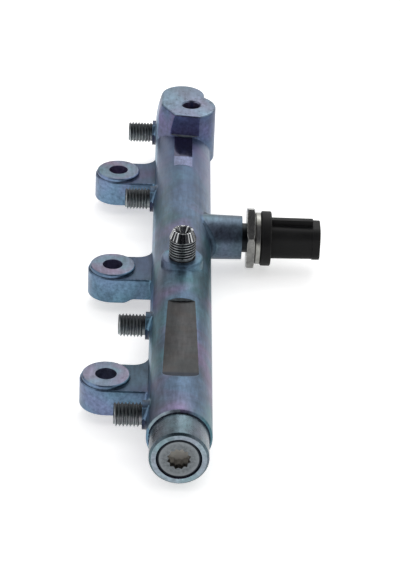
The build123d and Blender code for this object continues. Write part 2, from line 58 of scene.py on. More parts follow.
# Sizes of the forging in millimetres
rail_x, rail_z, barrel_r = 36.6, 11.7, 16.0
face_y, shoulder_y, collar_r = -178.7, -161.0, 14.4
bore_end_y, plug_thread_r = 176.0, 11.0
bolt_pitch, bolt_hole_r = 111.0, 5.3
lug_top, lug_end_x = 14.1, 22.0
pad_top, pad_r = 16.1, 12.0
outlet_ys, outlet_root_r = (-140.6, -55.7, 84.7, 169.6), 9.4
inlet_y, inlet_mouth_r = -13.2, 4.2
label_front_y, label_back_y = -129.7, -54.1
label_low_z, label_high_z = 24.85, 26.1
top_flat_y, top_flat_z = 96.8, 26.85
boss_top_z, facet_foot_z, mill_turn = 39.7, 27.35, radians(7.5)
boss_hole_x, boss_hole_y, boss_hole_r = 40.6, 150.8, 5.0
before_boss_y = 125.0                       # a little in front of the boss
sensor_y, sensor_thread_r, sensor_face_x = 42.5, 9.0, 69.4

# Threads, each from its foot to its tip, both measured from the barrel's axis
outlet_thread = dict(foot=18.1, tip=32.0, major=6.0, depth=1.07, pitch=1.75, relief=0.9, tip_r=5.1)
inlet_thread = dict(foot=17.7, tip=29.1, major=7.0, depth=0.92, pitch=1.5, relief=0.8, tip_r=6.9)
thread_lip = 0.05                           # plain wall kept at each end of a thread


def welded(node):
    """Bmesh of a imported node, its loose triangles joined, ready for editing."""
    bm = bmesh.new()
    bm.from_mesh(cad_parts[node].data)
    bmesh.ops.remove_doubles(bm, verts=bm.verts, dist=0.002 * mm)
    bmesh.ops.dissolve_degenerate(bm, edges=bm.edges, dist=0.001 * mm)
    return bm


def smooth_but_for_corners(bm, corner=32):
    """Shades a mesh smooth, with a hard edge wherever two faces meet at more than this angle."""
    for face in bm.faces:
        face.smooth = True
    for edge in bm.edges:
        edge.smooth = edge.is_manifold and edge.calc_face_angle(0) < radians(corner)


def made(bm, name, materials):
    """Turns a bmesh into an object with its materials."""
    mesh = bpy.data.meshes.new(name)
    bm.to_mesh(mesh)
    bm.free()
    piece = bpy.data.objects.new(name, mesh)
    bpy.context.scene.collection.objects.link(piece)
    for material in materials:
        mesh.materials.append(material)
    return piece


def finished(bm, name, materials, stands_for):
    """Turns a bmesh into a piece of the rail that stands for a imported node."""
    piece = made(bm, name, materials)
    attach(piece, "root")
    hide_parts(stands_for)


def helical_thread(major, depth, pitch, length, relief, tip_r):
    """Thread along +Z from z = 0, with a relief groove at its foot and a chamfer at its tip."""
    bm = bmesh.new()
    minor = major - depth
    ridge = ((0, minor), (0.11, minor), (0.44, major), (0.56, major), (0.89, minor), (1, minor))
    row = [bm.verts.new((r, 0, (share - 1) * pitch)) for share, r in ridge]
    for low, high in zip(row, row[1:]):
        bm.edges.new((low, high))
    around = 40
    turns = int(length / pitch) + 3
    bmesh.ops.spin(
        bm, geom=bm.verts[:] + bm.edges[:], cent=(0, 0, 0), axis=(0, 0, 1),
        dvec=(0, 0, pitch / around), angle=2 * pi * turns, steps=around * turns,
    )
    bmesh.ops.remove_doubles(bm, verts=bm.verts, dist=0.01 * mm)
    for level, side in ((0, -1), (length, 1)):
        bmesh.ops.bisect_plane(
            bm, geom=bm.verts[:] + bm.edges[:] + bm.faces[:], plane_co=(0, 0, level),
            plane_no=(0, 0, side), clear_outer=True,
        )
    for vert in bm.verts:
        r = hypot(vert.co.x, vert.co.y)
        limit = min(major, tip_r + max(length - vert.co.z, 0))
        if vert.co.z < relief:
            limit = min(limit, minor + 0.1 * mm)
        vert.co.x *= min(r, limit) / r
        vert.co.y *= min(r, limit) / r
    bmesh.ops.recalc_face_normals(bm, faces=bm.faces)
    return bm


def cut_thread(bm, place, turned_to, finish_number, foot, tip, major, **profile):
    """Swaps the plain wall of a spigot, which stands at a place on the axis, for a real thread."""
    to_spigot = (Matrix.Translation([v * mm for v in place]) @ turned_to).inverted()

    def spots(part):
        return [to_spigot @ vert.co / mm for vert in part.verts]

    wall = []
    for face in bm.faces:
        corners = spots(face)
        at_an_end = any(all(abs(s.z - end) < 0.01 for s in corners) for end in (foot, tip))
        if not at_an_end and all(
            foot - 0.01 < s.z < tip + 0.01 and major - 1.01 < hypot(s.x, s.y) < major + 0.05
            for s in corners
        ):
            wall.append(face)
    bmesh.ops.delete(bm, geom=wall, context="FACES")

    sizes = dict(profile, major=major, length=tip - foot - 2 * thread_lip)
    thread = helical_thread(**{name: size * mm for name, size in sizes.items()})
    lifted = Matrix.Translation((0, 0, (foot + thread_lip) * mm))
    bmesh.ops.transform(thread, matrix=lifted, verts=thread.verts)
    bmesh.ops.transform(thread, matrix=to_spigot.inverted(), verts=thread.verts)
    for face in thread.faces:
        face.material_index = finish_number
    between = bpy.data.meshes.new("thread")
    thread.to_mesh(between)
    thread.free()
    bm.from_mesh(between)
    bpy.data.meshes.remove(between)

    for end in (foot, tip):
        rims = [
            edge for edge in bm.edges
            if edge.is_boundary
            and all(abs(s.z - end) < 0.12 and hypot(s.x, s.y) < major + 0.1 for s in spots(edge))
        ]
        for face in bmesh.ops.bridge_loops(bm, edges=rims)["faces"]:
            face.material_index = finish_number


def feed(tree, socket, value):
    """Feeds a socket with a number, a vector, a colour or another node's output."""
    if isinstance(value, bpy.types.NodeSocket):
        tree.links.new(value, socket)
    elif socket.type == "RGBA":
        socket.default_value = (*value, 1)
    else:
        socket.default_value = value


def put(tree, kind, **values):
    """Adds a shader node and feeds the inputs that are named."""
    node = tree.nodes.new("ShaderNode" + kind)
    for name, value in values.items():
        feed(tree, node.inputs[name.replace("_", " ")], value)
    return node


def with_effect(tree, group, **values):
    """Places a node group, feeds the inputs that are named, and gives its outputs."""
    node = tree.nodes.new("ShaderNodeGroup")
    node.node_tree = group
    for name, value in values.items():
        feed(tree, node.inputs[name], value)
    return node.outputs


def reckon(tree, operation, *values):
    """Result of a math node on numbers or outputs."""
    node = tree.nodes.new("ShaderNodeMath")
    node.operation = operation
    for socket, value in zip(node.inputs, values):
        feed(tree, socket, value)
    return node.outputs[0]


def gauge(tree, operation, *vectors):
    """Number that a vector math node gives for these vectors."""
    node = tree.nodes.new("ShaderNodeVectorMath")
    node.operation = operation
    for socket, vector in zip(node.inputs, vectors):
        feed(tree, socket, vector)
    return node.outputs["Value"]


def spread(tree, value, low, high, to_low=0.0, to_high=1.0):
    """Stretches the range from low to high over the range from to_low to to_high."""
    stretched = put(
        tree, "MapRange", Value=value, From_Min=low, From_Max=high, To_Min=to_low, To_Max=to_high
    )
    return stretched.outputs["Result"]


def mixed(tree, share, a, b, how="MIX"):
    """Mixes two colours, each a colour or an output, by a share."""
    node = tree.nodes.new("ShaderNodeMix")
    node.data_type = "RGBA"
    node.blend_type = how
    for socket, value in zip((node.inputs[0], node.inputs[6], node.inputs[7]), (share, a, b)):
        feed(tree, socket, value)
    return node.outputs[2]


def darkened(tree, color, shade):
    """Colour times a shade that changes over the surface."""
    grey = put(tree, "CombineColor")
    for channel in grey.inputs:
        feed(tree, channel, shade)
    return mixed(tree, 1.0, color, grey.outputs[0], "MULTIPLY")


def noise(tree, where, scale, detail, roughness=0.5, distortion=0.0):
    """Noise from 0 to 1 over the surface."""
    texture = put(
        tree, "TexNoise", Vector=where, Scale=scale, Detail=detail, Roughness=roughness,
        Distortion=distortion,
    )
    return texture.outputs["Fac"]


def noise_along(tree, measure, scale, detail, roughness=0.5):
    """Noise from 0 to 1 that changes along one measure only."""
    texture = put(tree, "TexNoise", Scale=scale, Detail=detail, Roughness=roughness)
    texture.noise_dimensions = "1D"
    feed(tree, texture.inputs["W"], measure)
    return texture.outputs["Fac"]


def place_on(tree):
    """Place on the surface, in the rail's frame."""
    return put(tree, "TexCoord").outputs["Object"]


def moved(tree, where, **values):
    """Place after a shift, a turn or a stretch."""
    return put(tree, "Mapping", Vector=where, **values).outputs["Vector"]


def part_of(tree, vector, axis):
    """Part of a vector along X, Y or Z."""
    return put(tree, "SeparateXYZ", Vector=vector).outputs[axis]


def effect(name, inputs, outputs):
    """Starts a node group with named sockets. Returns it, what it is given and what it results in."""
    group = bpy.data.node_groups.new(name, "ShaderNodeTree")
    for label, kind, value in inputs:
        socket = group.interface.new_socket(label, in_out="INPUT", socket_type="NodeSocket" + kind)
        socket.default_value = value
    for label, kind in outputs:
        group.interface.new_socket(label, in_out="OUTPUT", socket_type="NodeSocket" + kind)
    return group, group.nodes.new("NodeGroupInput").outputs, group.nodes.new("NodeGroupOutput").inputs


def material_named(name, metallic, roughness):
    """New material with its plain values set. Returns it, its node tree and its shader's inputs."""
    material = bpy.data.materials.new(name)
    material.use_nodes = True
    surface = material.node_tree.nodes["Principled BSDF"].inputs
    surface["Metallic"].default_value = metallic
    surface["Roughness"].default_value = roughness
    return material, material.node_tree, surface


# Film of the passivated zinc: its own colour, soft patches of two others, then wiped and stained
film, given, result = effect(
    "passivation_film",
    (
        ("Film", "Color", (0.15, 0.2, 0.3, 1)), ("Teal", "Color", (0.12, 0.22, 0.25, 1)),
        ("Violet", "Color", (0.24, 0.2, 0.32, 1)), ("Patches", "Float", 34.0),
        ("Amount", "Float", 0.8),
    ),
    (("Color", "Color"), ("Mottle", "Float")),
)
where = place_on(film)
elsewhere = moved(film, where, Location=(0.31, 0.17, 0.43))
patch = spread(film, noise(film, where, given["Patches"], 1.5, 0.5, 0.3), 0.42, 0.64)
teal_share = reckon(film, "MULTIPLY", patch, given["Amount"])
patch = spread(film, noise(film, elsewhere, given["Patches"], 1.5, 0.5, 0.4), 0.48, 0.68)
violet_share = reckon(film, "MULTIPLY", patch, given["Amount"])
color = mixed(film, teal_share, given["Film"], given["Teal"])
color = mixed(film, violet_share, color, given["Violet"])
mottle = noise(film, where, 420.0, 4.0, 0.6)
wiped = moved(film, where, Rotation=(0.1, 0.2, 0.5), Scale=(1.0, 0.16, 1.0))
streaks = noise(film, wiped, 640.0, 3.0, 0.6)
both = reckon(film, "MULTIPLY", reckon(film, "ADD", mottle, streaks), 0.5)
stain = noise(film, elsewhere, 48.0, 5.0, 0.62, 0.5)
shade = reckon(
    film, "MULTIPLY", spread(film, both, 0.34, 0.66, 0.66, 1.32),
    spread(film, stain, 0.34, 0.6, 0.68, 1.08),
)
feed(film, result["Color"], darkened(film, color, shade))
feed(film, result["Mottle"], mottle)

# Rounded look of an edge, and a mask that is white along it
soft_edge, given, result = effect(
    "soft_edge", (("Radius", "Float", 0.3 * mm),), (("Normal", "Vector"), ("Edge", "Float"))
)
rounded = put(soft_edge, "Bevel", Radius=given["Radius"])
rounded.samples = 6
true_normal = put(soft_edge, "NewGeometry").outputs["Normal"]
agreement = gauge(soft_edge, "DOT_PRODUCT", rounded.outputs["Normal"], true_normal)
feed(soft_edge, result["Normal"], rounded.outputs["Normal"])
feed(soft_edge, result["Edge"], spread(soft_edge, agreement, 0.995, 0.9))

# Painted shade in corners: a mask that is white where the surface is close to another
crevice, given, result = effect(
    "crevice", (("Reach", "Float", 1.5 * mm), ("Amount", "Float", 0.7)), (("Mask", "Float"),)
)
shelter = put(crevice, "AmbientOcclusion", Distance=given["Reach"])
shelter.samples = 6
sheltered = spread(crevice, shelter.outputs["AO"], 0.85, 0.25)
feed(crevice, result["Mask"], reckon(crevice, "MULTIPLY", sheltered, given["Amount"]))

# Marks of a cutting tool: fine lines that change along one measure, such as a radius or a height
tool_marks, given, result = effect(
    "tool_marks",
    (("Along", "Float", 0.0), ("Pitch", "Float", 0.4 * mm), ("Depth", "Float", 0.2)),
    (("Shade", "Float"), ("Height", "Float")),
)
line = noise_along(
    tool_marks, reckon(tool_marks, "DIVIDE", given["Along"], given["Pitch"]), 1.0, 3.0, 0.7
)
off_middle = reckon(tool_marks, "SUBTRACT", line, 0.5)
strength = reckon(tool_marks, "MULTIPLY", given["Depth"], 2.0)
swing = reckon(tool_marks, "MULTIPLY", off_middle, strength)
feed(tool_marks, result["Shade"], reckon(tool_marks, "ADD", swing, 1.0))
feed(tool_marks, result["Height"], line)


def along_axis(axis):
    """Measure along X, Y or Z."""
    return lambda tree, where: part_of(tree, where, axis)


def from_bolt_hole(tree, where):
    """Distance from the nearest of the bolt holes, which stand a pitch apart along Y."""
    half = bolt_pitch / 2 * mm
    from_hole = reckon(tree, "WRAP", part_of(tree, where, "Y"), half, -half)
    across = reckon(tree, "POWER", part_of(tree, where, "X"), 2.0)
    square = reckon(tree, "MULTIPLY", from_hole, from_hole)
    return reckon(tree, "SQRT", reckon(tree, "ADD", across, square))


def from_barrel_axis(tree, where):
    """Distance from the barrel's axis."""
    centred = moved(tree, where, Location=(-rail_x * mm, 0, -rail_z * mm), Scale=(1, 0, 1))
    return gauge(tree, "LENGTH", centred)


def bumped(tree, surface, height, strength, distance, edge_r=None):
    """Fine relief, over edges that look rounded if they have a radius. Returns those edges' mask."""
    relief = put(tree, "Bump", Height=height, Strength=strength, Distance=distance * mm)
    feed(tree, surface["Normal"], relief.outputs["Normal"])
    if edge_r:
        edges = with_effect(tree, soft_edge, Radius=edge_r * mm)
        feed(tree, relief.inputs["Normal"], edges["Normal"])
        return edges["Edge"]


def highlight_edges(tree, edge, share, color, base, gain):
    """Colour with a painted highlight along its edges: a lighter tone of a base colour."""
    tone = tuple(min(1.0, gain * value + 0.03) for value in base)
    return mixed(tree, reckon(tree, "MULTIPLY", edge, share), color, tone)


def shaded_in_corners(tree, color, reach, amount, shade_color):
    """Colour with painted shade in its corners."""
    corner_mask = with_effect(tree, crevice, Reach=reach * mm, Amount=amount)
    return mixed(tree, corner_mask["Mask"], color, shade_color)


def plated_finish(
    name, colors, roughness, along=None, pitch=0.4, depth=0.12, grain=0.0, patches=34.0, amount=0.8,
    metallic=0.92, edge_r=0.35, corner_shade=0.55, edge_light=0.25, upward_shade=0.0, fade=None,
):
    """Plated steel with tool marks along a measure, or else a forged grain, a painted highlight along
    its edges, painted shade in its corners, and painted shade on its upward faces if asked. The
    colours are the film's own, its teal and its violet. A fade is where it starts and ends along Y,
    how strong it gets, and its colour."""
    material, tree, surface = material_named(name, metallic, roughness)
    own, teal, violet = colors
    coat = with_effect(
        tree, film, Patches=patches, Amount=amount, Film=own, Teal=teal, Violet=violet
    )
    where = place_on(tree)
    color = coat["Color"]
    if fade:
        from_y, to_y, most, toward = fade
        share = spread(tree, part_of(tree, where, "Y"), from_y * mm, to_y * mm, 0.0, most)
        color = mixed(tree, share, color, toward)
    if along:
        marks = with_effect(
            tree, tool_marks, Pitch=pitch * mm, Depth=depth, Along=along(tree, where)
        )
        color = darkened(tree, color, marks["Shade"])
        edge = bumped(tree, surface, marks["Height"], 0.35, 0.03, edge_r)
    else:
        edge = bumped(tree, surface, noise(tree, where, 900.0, 3.0, 0.55), 0.35, grain, edge_r)
    # Painted highlight: the edges turn to a lighter tone of the film's own colour
    color = highlight_edges(tree, edge, edge_light, color, own, 1.5)
    # Painted shade: the corners turn near black
    color = shaded_in_corners(tree, color, 3.0, corner_shade, (0.02, 0.022, 0.03))
    # Painted shade: faces that look up turn near black
    if upward_shade:
        faces_up = part_of(tree, put(tree, "NewGeometry").outputs["Normal"], "Z")
        share = spread(tree, faces_up, 0.25, 0.75, 0.0, upward_shade)
        color = mixed(tree, share, color, (0.02, 0.022, 0.026))
    feed(tree, surface["Base Color"], color)
    uneven = spread(tree, coat["Mottle"], 0.3, 0.7, roughness - 0.05, roughness + 0.07)
    feed(tree, surface["Roughness"], uneven)
    return material


plated = plated_finish(
    "plated_forging", ((0.082, 0.130, 0.200), (0.068, 0.150, 0.180), (0.152, 0.120, 0.212)), 0.40,
    grain=0.035, corner_shade=0.85, amount=0.95, edge_r=1.4, edge_light=0.08,
    fade=(45, 110, 0.55, (0.088, 0.112, 0.225)),
)
boss_side = plated_finish(
    "plated_boss", ((0.076, 0.104, 0.20), (0.068, 0.124, 0.185), (0.125, 0.10, 0.215)), 0.38,
    grain=0.03, corner_shade=0.85, edge_r=1.4, edge_light=0.1,
)
# Painted light: a lighter copy of the plating, for the sides of the lugs and the pads
lit_lug_side = plated_finish(
    "plated_lug_lit", ((0.140, 0.220, 0.335), (0.12, 0.235, 0.31), (0.175, 0.205, 0.345)), 0.36,
    grain=0.03,
)
# Painted shade: a darker copy of the plating, for the tops of the lugs' arms round the pads
shaded_lug_arm = plated_finish(
    "plated_recess_shaded", ((0.044, 0.064, 0.108), (0.040, 0.072, 0.098), (0.06, 0.056, 0.106)), 0.42,
    grain=0.035, edge_light=0.0,
)
# Painted shade: a near-black copy of the plating, for the roots of the outlets' collars and the
# shoulder's step
shaded_rim = plated_finish(
    "plated_chamfer_shaded", ((0.02, 0.03, 0.06), (0.018, 0.034, 0.055), (0.03, 0.025, 0.06)), 0.36,
    grain=0.01, edge_light=0.0,
)
milled = plated_finish(
    "milled_pad", ((0.118, 0.14, 0.195), (0.092, 0.17, 0.205), (0.17, 0.118, 0.175)), 0.32,
    along=from_bolt_hole, pitch=0.5, depth=0.1, patches=60.0,
)
boss_faced = plated_finish(
    "faced_boss", ((0.16, 0.205, 0.29), (0.145, 0.225, 0.29), (0.205, 0.185, 0.275)), 0.3,
    along=along_axis("X"), pitch=0.6, depth=0.05, patches=40.0, corner_shade=0.1,
)
facet = plated_finish(
    "milled_facet", ((0.128, 0.168, 0.36), (0.118, 0.185, 0.345), (0.155, 0.15, 0.345)), 0.46,
    along=along_axis("X"), pitch=0.5, patches=40.0, edge_light=0.1,
)
# The rear part of this flat is painted dark by its fade: a painted reflection of the facet behind it
top_faced = plated_finish(
    "faced_top_flat", ((0.25, 0.265, 0.45), (0.23, 0.27, 0.43), (0.27, 0.25, 0.44)), 0.09,
    patches=40.0, edge_r=0.1, corner_shade=0.0, fade=(108.9, 109.5, 0.88, (0.06, 0.058, 0.105)),
)
# The front end of the label flat is painted dark by its fade: painted shade along the wall there
label_faced = plated_finish(
    "faced_label_flat", ((0.034, 0.034, 0.036), (0.030, 0.034, 0.035), (0.037, 0.033, 0.032)), 0.34,
    along=along_axis("Y"), pitch=1.1, patches=90.0,
    fade=(-121.7, -122.6, 0.85, (0.008, 0.012, 0.02)),
)
turned = plated_finish(
    "turned_collar", ((0.090, 0.128, 0.152), (0.074, 0.140, 0.157), (0.115, 0.12, 0.16)), 0.28,
    along=along_axis("Y"), pitch=0.3, depth=0.06, patches=50.0,
)
faced_ring = plated_finish(
    "faced_ring", ((0.27, 0.34, 0.385), (0.235, 0.355, 0.395), (0.29, 0.325, 0.39)), 0.34,
    along=from_barrel_axis, pitch=0.35, depth=0.08, patches=60.0,
)
# Painted light: a light, nearly unmetallic grey for the ledge at the facet's foot and the wall at the
# label flat's rear end
lit_run_out = plated_finish(
    "cutter_run_out", ((0.13, 0.152, 0.165), (0.12, 0.157, 0.165), (0.14, 0.142, 0.17)), 0.5,
    grain=0.02, metallic=0.1, corner_shade=0.0, edge_light=0.0,
)
# Painted shade: a darker copy of the plating, for the fillet at the sensor boss's root
shaded_root = plated_finish(
    "forged_root_shaded", ((0.056, 0.086, 0.126), (0.05, 0.094, 0.12), (0.07, 0.08, 0.13)), 0.55,
    grain=0.03, edge_light=0.0,
)
sensor_turned = plated_finish(
    "turned_sensor_boss", ((0.095, 0.135, 0.175), (0.08, 0.15, 0.175), (0.105, 0.125, 0.185)), 0.4,
    along=along_axis("X"), pitch=0.3, depth=0.1, patches=40.0,
)
# Rolled thread: a painted highlight on its crests, painted shade in its roots and on its upward faces
threaded = plated_finish(
    "rolled_thread", ((0.40, 0.43, 0.44), (0.37, 0.435, 0.44), (0.41, 0.405, 0.44)), 0.42,
    along=along_axis("Y"), pitch=0.9, depth=0.2, patches=200.0, edge_r=0.12, corner_shade=0.8,
    edge_light=0.7, upward_shade=0.94,
)
drilled = plated_finish(
    "oiled_bore", ((0.14, 0.13, 0.24), (0.12, 0.14, 0.21), (0.17, 0.12, 0.23)), 0.45,
    along=along_axis("Z"), pitch=0.5, depth=0.2, corner_shade=0.15, metallic=0.8,
)

# Bright steel of the inlet's crown, with streaks that run down from its mouth: painted highlights
crown, tree, surface = material_named("bright_crown", 1.0, 0.25)
where = place_on(tree)
from_middle = [
    reckon(tree, "SUBTRACT", part_of(tree, where, axis), middle * mm)
    for axis, middle in (("Y", inlet_y), ("X", rail_x))
]
round_inlet = reckon(tree, "ARCTAN2", *from_middle)
highlight_streak = spread(tree, noise_along(tree, round_inlet, 4.5, 2.0), 0.5, 0.6)
feed(tree, surface["Base Color"], mixed(tree, highlight_streak, (0.022, 0.024, 0.027), (0.55, 0.56, 0.57)))
feed(tree, surface["Normal"], with_effect(tree, soft_edge, Radius=0.3 * mm)["Normal"])

rail_finishes = (
    plated, lit_lug_side, shaded_lug_arm, shaded_rim, milled, boss_faced, top_faced, label_faced, turned,
    faced_ring, sensor_turned, threaded, drilled, crown, facet, boss_side, lit_run_out, shaded_root,
)
thread_number = rail_finishes.index(threaded)

rail = welded("rail_body")
for y in outlet_ys:
    to_the_side = Matrix.Rotation(-pi / 2, 4, "Y")
    cut_thread(rail, (rail_x, y, rail_z), to_the_side, thread_number, **outlet_thread)
cut_thread(rail, (rail_x, inlet_y, rail_z), Matrix.Identity(4), thread_number, **inlet_thread)


def rail_finish(spot, normal):
    """Finish of the forging at a place in millimetres, from how that face is machined."""
    x, y, z = spot
    off_axis = hypot(x - rail_x, z - rail_z)
    off_bolt = min(hypot(x, y - hole) for hole in (-bolt_pitch, 0, bolt_pitch))
    off_inlet = hypot(x - rail_x, y - inlet_y)
    off_sensor = hypot(y - sensor_y, z - rail_z)
    off_outlet = min(hypot(y - outlet, z - rail_z) for outlet in outlet_ys)
    upright = abs(normal.z) < 0.5
    level = normal.z > 0.99

    # Bolt holes, pads, lugs, and the outlets' collars, whose roots are painted dark as shade
    if off_bolt < bolt_hole_r + 0.05 and upright:
        return drilled
    if off_bolt < pad_r + 0.1 and z > pad_top - 0.6:
        return milled if normal.z > 0.9 else lit_lug_side
    if x < lug_end_x and z > lug_top - 0.6 and abs(normal.x) < 0.99:
        return shaded_lug_arm if normal.z > 0.9 else lit_lug_side
    if x < rail_x - barrel_r and off_outlet < outlet_root_r + 0.2:
        return shaded_rim
    if x < lug_end_x and upright:
        return lit_lug_side

    # Boss: its facet, the ledge that the cutter leaves at the facet's foot, painted light, and its
    # top
    against_facet = Vector((sin(mill_turn), cos(mill_turn), 0))
    if normal.dot(against_facet) < -0.99 and z > facet_foot_z - 0.05 and y > before_boss_y:
        return facet
    if level and abs(z - facet_foot_z) < 0.05 and y > before_boss_y:
        return lit_run_out
    if y > before_boss_y and z > boss_top_z - 0.7 and normal.z > 0.5:
        return boss_faced

    # Flat in front of the boss, and the label flat, which slopes, with the wall at its rear end
    # painted light
    if level and abs(z - top_flat_z) < 0.05 and top_flat_y - 1.8 < y < before_boss_y + 11:
        return top_faced
    if normal.z > 0.999 and label_low_z - 0.35 < z < label_high_z + 0.2:
        if label_front_y - 0.8 < y < label_back_y + 0.1:
            return label_faced
    if normal.y < -0.9 and abs(y - label_back_y) < 0.3 and z > label_low_z - 0.35:
        return lit_run_out
    if z < boss_top_z - 0.1 and hypot(x - boss_hole_x, y - boss_hole_y) < boss_hole_r + 0.1:
        return drilled

    # Front collar, and the shoulder behind it: its step painted shade, its chamfer a painted
    # highlight on the bolts' side
    if y < face_y + 0.1 and off_axis > plug_thread_r - 0.1:
        return faced_ring
    if y < shoulder_y + 0.1 and off_axis > collar_r - 1.5:
        return shaded_rim if abs(y - shoulder_y) < 0.05 else turned
    if y < shoulder_y + 1.1 and off_axis > barrel_r - 1.1 and x < rail_x and abs(normal.y) > 0.5:
        return faced_ring

    # Inlet, bore and sensor boss, whose root is painted dark as shade, and then what stays as forged
    if z > rail_z + inlet_thread["tip"] - 0.1 and off_inlet < inlet_thread["major"] + 0.2:
        return crown
    if off_inlet < inlet_mouth_r + 0.1 and z > rail_z + barrel_r + 2.3:
        return drilled
    if off_axis < plug_thread_r + 0.1 and y < bore_end_y:
        return drilled
    if x > rail_x + barrel_r - 0.6 and off_sensor < sensor_thread_r + 0.1:
        return drilled
    if x > rail_x + barrel_r - 4.6 and off_sensor < sensor_thread_r + 5.5:
        return sensor_turned if abs(normal.x) < 0.1 or x > sensor_face_x - 1.4 else shaded_root
    return boss_side if y > before_boss_y - 5 and off_axis > barrel_r + 0.2 else plated


for face in rail.faces:
    if face.material_index != thread_number:
        finish = rail_finish(face.calc_center_median() / mm, face.normal)
        face.material_index = rail_finishes.index(finish)
smooth_but_for_corners(rail)
finished(rail, "rail_forging", rail_finishes, "rail_body")

# ------------------------------------------------------------------------------------------------
# End plug. Turned from plain steel, screwed into the front end with a twelve-point key. Its face is
# left dull by the saw and the tumbling barrel, and the gap round it is painted dark as shade.
# ------------------------------------------------------------------------------------------------
plug_face_y = face_y + 0.3
plug_chamfer_r = 10.15                      # where the chamfer round the plug's face starts


def toned(tree, dark, light, low, high, scale, detail, roughness=0.5):
    """Two tones that meet between two levels of a noise. Returns the colour and the noise."""
    grain = noise(tree, place_on(tree), scale, detail, roughness)
    return mixed(tree, spread(tree, grain, low, high), dark, light), grain


tumbled, tree, surface = material_named("tumbled_steel", 0.85, 0.5)
color, speck = toned(
    tree, (0.115, 0.13, 0.142), (0.21, 0.23, 0.243), 0.35, 0.65, 700.0, 4.0, 0.65
)
out = from_barrel_axis(tree, place_on(tree))
# The face turns lighter towards its rim
lighter_to_rim = spread(tree, out, 7.4 * mm, 9.0 * mm, 0.0, 0.55)
color = mixed(tree, lighter_to_rim, color, (0.27, 0.295, 0.315))
# Painted shade: a dark line round the face, next to the gap
gap_shadow_line = spread(tree, out, 9.35 * mm, 9.75 * mm)
feed(tree, surface["Base Color"], mixed(tree, gap_shadow_line, color, (0.01, 0.014, 0.02)))
bumped(tree, surface, speck, 0.5, 0.04, 0.25)

# Painted light: the socket's floor gets a light colour that stands in for light inside the socket
socket_floor_lit, tree, surface = material_named("socket_floor_lit", 0.2, 0.5)
color = toned(tree, (0.58, 0.56, 0.52), (0.74, 0.72, 0.67), 0.4, 0.6, 300.0, 3.0)[0]
feed(tree, surface["Base Color"], shaded_in_corners(tree, color, 0.7, 0.3, (0.01, 0.01, 0.012)))

cold_formed, tree, surface = material_named("cold_formed_wall", 0.9, 0.3)
color = toned(tree, (0.03, 0.028, 0.026), (0.14, 0.135, 0.13), 0.45, 0.65, 500.0, 3.0)[0]
# Painted light: deeper in the socket the walls turn light
lit_deeper_in = spread(tree, part_of(tree, place_on(tree), "Y"), -175.8 * mm, -174.2 * mm)
feed(tree, surface["Base Color"], mixed(tree, lit_deeper_in, color, (0.5, 0.48, 0.45)))

# Painted shade: a near-black colour for the plug's chamfer, in the gap round its face
oiled, tree, surface = material_named("gap_painted_shade", 0.3, 0.3)
color = toned(tree, (0.006, 0.009, 0.014), (0.014, 0.02, 0.03), 0.4, 0.6, 250.0, 2.0)[0]
feed(tree, surface["Base Color"], color)

plug_finishes = (tumbled, cold_formed, oiled, socket_floor_lit)
plug = welded("end_plug")
for face in plug.faces:
    x, y, z = face.calc_center_median() / mm
    finish = tumbled
    if hypot(x - rail_x, z - rail_z) > plug_chamfer_r:
        finish = oiled
    elif y > plug_face_y + 0.05:
        finish = socket_floor_lit if abs(face.normal.y) > 0.6 else cold_formed
    face.material_index = plug_finishes.index(finish)
smooth_but_for_corners(plug, 40)
finished(plug, "key_plug", plug_finishes, "end_plug")

# ------------------------------------------------------------------------------------------------
# Pressure sensor, steel parts. The port is turned from hexagon bar and left plain, dark from its
# heat treatment. A bright can is pressed over its head, and holds the plastic housing.
# ------------------------------------------------------------------------------------------------
hexagon_x = sensor_face_x + 2.6


def plain_metal(name, dark, light, roughness, edge_r=0.25, edge_highlight=0.4):
    """Unplated metal that was turned about X, with a painted highlight along its edges and painted
    shade in its corners.
    """
    material, tree, surface = material_named(name, 0.95, roughness)
    color = toned(tree, dark, light, 0.35, 0.65, 260.0, 4.0, 0.6)[0]
    marks = with_effect(
        tree, tool_marks, Pitch=0.4 * mm, Depth=0.1, Along=part_of(tree, place_on(tree), "X")
    )
    edge = bumped(tree, surface, marks["Height"], 0.3, 0.02, edge_r)
    color = highlight_edges(tree, edge, edge_highlight, color, light, 1.4)
    feed(tree, surface["Base Color"], shaded_in_corners(tree, color, 1.5, 0.5, (0.015, 0.015, 0.017)))
    return material


heat_treated = plain_metal(
    "heat_treated_steel", (0.14, 0.14, 0.135), (0.24, 0.24, 0.23), 0.26, edge_r=0.5, edge_highlight=0.9
)
# Painted shade: the neck, in the gap between the boss and the hexagon, is near black
neck_steel_shaded = plain_metal("neck_steel_shaded", (0.018, 0.022, 0.025), (0.035, 0.04, 0.043), 0.4)
stainless = plain_metal("stainless_can", (0.24, 0.24, 0.22), (0.34, 0.34, 0.32), 0.3)

port_finishes = (heat_treated, neck_steel_shaded)
port = welded("sensor_port")
for face in port.faces:
    on_neck = face.calc_center_median().x / mm < hexagon_x - 0.1
    face.material_index = port_finishes.index(neck_steel_shaded if on_neck else heat_treated)
smooth_but_for_corners(port, 25)
finished(port, "sensor_body", port_finishes, "sensor_port")

can = welded("sensor_can")
smooth_but_for_corners(can)
finished(can, "crimped_can", (stainless,), "sensor_can")

# ------------------------------------------------------------------------------------------------
# Sensor housing. Glass-filled plastic, moulded in one shot: a round flange and the shell of the plug
# socket, with a rib on top that the plug's latch runs on.
# ------------------------------------------------------------------------------------------------
moulded, tree, surface = material_named("moulded_housing", 0.0, 0.5)
color, swirl = toned(
    tree, (0.007, 0.007, 0.0075), (0.011, 0.011, 0.0112), 0.4, 0.62, 60.0, 3.0, 0.6
)
fleck = noise(tree, place_on(tree), 1400.0, 2.0)
edge = bumped(tree, surface, fleck, 0.35, 0.02, 0.35)
